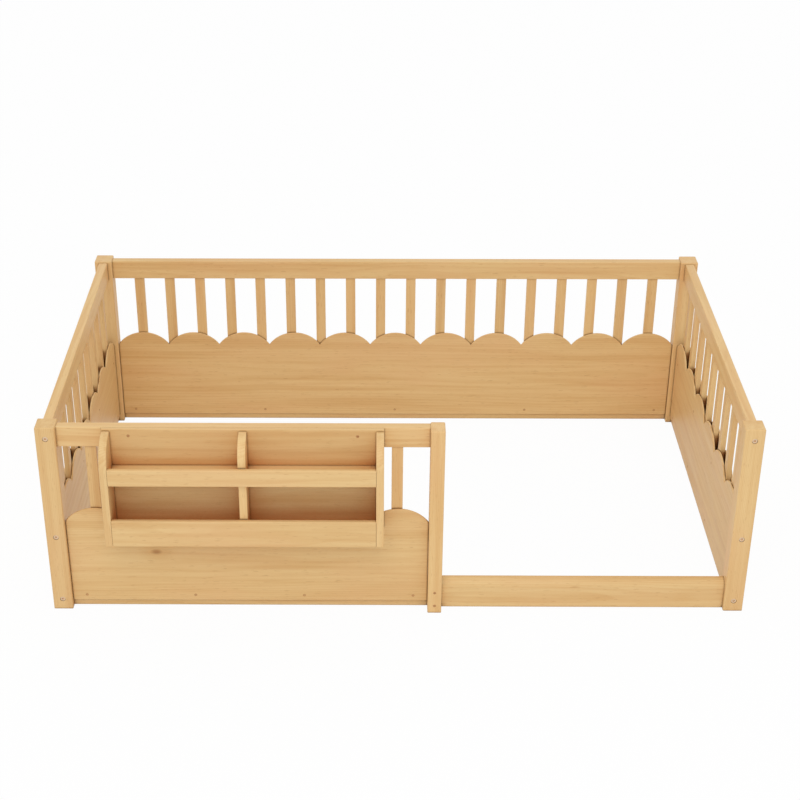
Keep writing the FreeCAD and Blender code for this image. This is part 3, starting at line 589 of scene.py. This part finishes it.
# %% One screw head
HEAD_RADIUS = 0.003
HEAD_PROUD = 0.00035
HEAD_SKIRT = 0.0008
CROSS_ARM = 0.0017
CROSS_HALF_WIDTH = 0.00042
CROSS_DEPTH = 0.0011
CROSS_WALL, CROSS_END = 0.0001, 0.0003     # how wide the slopes at its sides and ends are
HEAD_RINGS, HEAD_SPOKES = 14, 40
FIRST_RING = 0.05                          # its share of the head's radius
CROSS_TURN = 2.4                           # radians from one head's cross to the next


def head_points():
    """A head that faces up, as rings from the middle outwards. At radius r the
    height is proud x (1 - (r/R)^4), less the cross, whose floor rises outwards."""
    r = np.linspace(FIRST_RING, 1, HEAD_RINGS)[:, None] * HEAD_RADIUS
    turn = np.arange(HEAD_SPOKES)[None, :] / HEAD_SPOKES * 2 * np.pi
    x, y = r * np.cos(turn), r * np.sin(turn)
    from_arm = np.minimum(np.abs(x), np.abs(y))
    in_width = np.clip((CROSS_HALF_WIDTH - from_arm) / CROSS_WALL, 0, 1)
    in_length = np.clip((CROSS_ARM - r) / CROSS_END, 0, 1)
    pressed = in_width * in_length * CROSS_DEPTH * (1 - r / CROSS_ARM / 2)
    z = HEAD_PROUD * (1 - (r / HEAD_RADIUS) ** 4) - pressed
    rings = np.stack([x, y, z], axis=-1)
    skirt = rings[-1:] - np.array([0, 0, HEAD_SKIRT])
    return np.concatenate([rings, skirt])


def screw_heads(name, node, places):
    """A copy of the head at each place (x, y, z, axis, sign), turned to face along
    that axis, each with its cross at another angle."""
    head = head_points()
    skins = []
    for i, (*spot, axis, sign) in enumerate(places):
        out = Vector([sign * (k == axis) for k in range(3)])
        turn = out.to_track_quat("Z", "Y").to_matrix() @ Matrix.Rotation(CROSS_TURN * i, 3, "Z")
        skins.append(head @ np.array(turn).T + np.array(spot))
    return add_piece(name, closed_skins(name, skins), METALS[node], node, sharp_from=35)


print("points of a screw head:", head_points().size // 3)

# %% [markdown]
# The heads stand where the CAD solids have them. Along each board they are evenly
# spaced from one end to the other, in one row at the foot, and on the side walls
# in a second row that reaches the middle rail behind the board. An inner board is
# screwed from inside the bed, and an outer one from outside.

# %% Screws
SCREW_MARGIN = 0.0287                      # from a board's end to its first screw
SCREW_ROW = 0.028                          # from the floor to the lower row
USUAL_SCREWS, BACK_SCREWS = 4, 5           # in one row
FACES_PLUS = ("left_inner_board", "right_outer_board")
CORNER_SCREWS = {"bookcase_screws": "bookcase_back", "gate_screws": "gate_post"}


def board_screw_places(node):
    """Where a board's heads lie, row by row."""
    low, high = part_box(node)
    along = int(on_side_wall(node))
    across_axis = 1 - along
    sign = 1 if node in FACES_PLUS else -1
    middle_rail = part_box("left_middle_rail")
    rows = [SCREW_ROW] + [(middle_rail[0].z + middle_rail[1].z) / 2] * along
    count = BACK_SCREWS if node == "back_board" else USUAL_SCREWS
    places = []
    for height in rows:
        for u in np.linspace(low[along] + SCREW_MARGIN, high[along] - SCREW_MARGIN, count):
            spot = [0, 0, height]
            spot[along] = u
            spot[across_axis] = (high if sign > 0 else low)[across_axis]
            places.append((*spot, across_axis, sign))
    return places


def corner_screw_places(node, face):
    """Two heads, in two opposite corners of a CAD node's box, on the front face of another node."""
    low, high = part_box(node)
    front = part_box(face)[0].y
    first = (low.x + HEAD_RADIUS, front, low.z + HEAD_RADIUS, 1, -1)
    last = (high.x - HEAD_RADIUS, front, high.z - HEAD_RADIUS, 1, -1)
    return [first, last]


board_places = sum((board_screw_places(node_name) for node_name in SCALLOPS), [])
screw_heads("board_screw_heads", "board_screws", board_places)
for node_name, face in CORNER_SCREWS.items():
    screw_heads(node_name.replace("screws", "screw_heads"), node_name, corner_screw_places(node_name, face))
print("screw heads:", len(board_places) + 2 * len(CORNER_SCREWS))

# %% [markdown]
# ## Floor, backdrop and light
#
# The photograph is a catalogue picture: no horizon, a white floor, and light from
# all round with a little more from above and in front. A white world gives the
# soft part, and one large lamp gives the rest. Seen by the camera, the world is
# plain white, and the floor is a mixture of plain white and a real white surface,
# which is what carries the soft shadow under the bed.

# %% Stage
WORLD_STRENGTH = 0.80
LAMP_PLACE = Vector((-0.3, -3.0, 3.4))
LAMP_SIZE = 2.2
LAMP_POWER = 40.0
FLOOR_SIDE = 60.0
FLOOR_COLOUR = (0.9, 0.9, 0.9, 1)
FLOOR_WHITE = 0.96                         # share of plain white that the camera sees


def seen(shader):
    """1 for a ray that shows its surface: straight from the camera, off a gloss, or through glass."""
    names = ("Is Camera Ray", "Is Glossy Ray", "Is Transmission Ray")
    rays = [shader.node("LightPath", output=name) for name in names]
    return rays[0].math("MAXIMUM", rays[1]).math("MAXIMUM", rays[2])


def add_floor():
    s = new_shader("studio_floor")
    plain = s.node("Emission", inputs={"Color": (1, 1, 1, 1), "Strength": 1.0})
    real = s.node("BsdfDiffuse", inputs={"Color": FLOOR_COLOUR})
    mixed = s.node("MixShader", inputs={0: seen(s) * FLOOR_WHITE, 1: real, 2: plain})
    s.node("OutputMaterial", inputs={"Surface": mixed})
    half = FLOOR_SIDE / 2
    corners = [(-half, -half, 0), (half, -half, 0), (half, half, 0), (-half, half, 0)]
    mesh = bpy.data.meshes.new("studio_floor")
    mesh.from_pydata(corners, [], [(0, 1, 2, 3)])
    mesh.materials.append(s.owner)
    floor = bpy.data.objects.new("studio_floor", mesh)
    bpy.context.scene.collection.objects.link(floor)


def add_world():
    world = bpy.data.worlds.new("studio")
    bpy.context.scene.world = world
    s = Shader(world)
    strength = WORLD_STRENGTH + seen(s) * (1 - WORLD_STRENGTH)
    sky = s.node("Background", inputs={"Color": (1, 1, 1, 1), "Strength": strength})
    s.node("OutputWorld", inputs={"Surface": sky})


def add_lamp():
    """One square lamp that faces the floor under the middle of the bed."""
    data = bpy.data.lights.new("key_lamp", "AREA")
    data.size = LAMP_SIZE
    data.energy = LAMP_POWER
    lamp = bpy.data.objects.new("key_lamp", data)
    turn = (-LAMP_PLACE).to_track_quat("-Z", "Y").to_matrix()
    lamp.matrix_world = Matrix.Translation(LAMP_PLACE) @ turn.to_4x4()
    bpy.context.scene.collection.objects.link(lamp)


add_floor()
add_world()
add_lamp()
bpy.context.scene.view_settings.view_transform = "Standard"
print("stage is set")
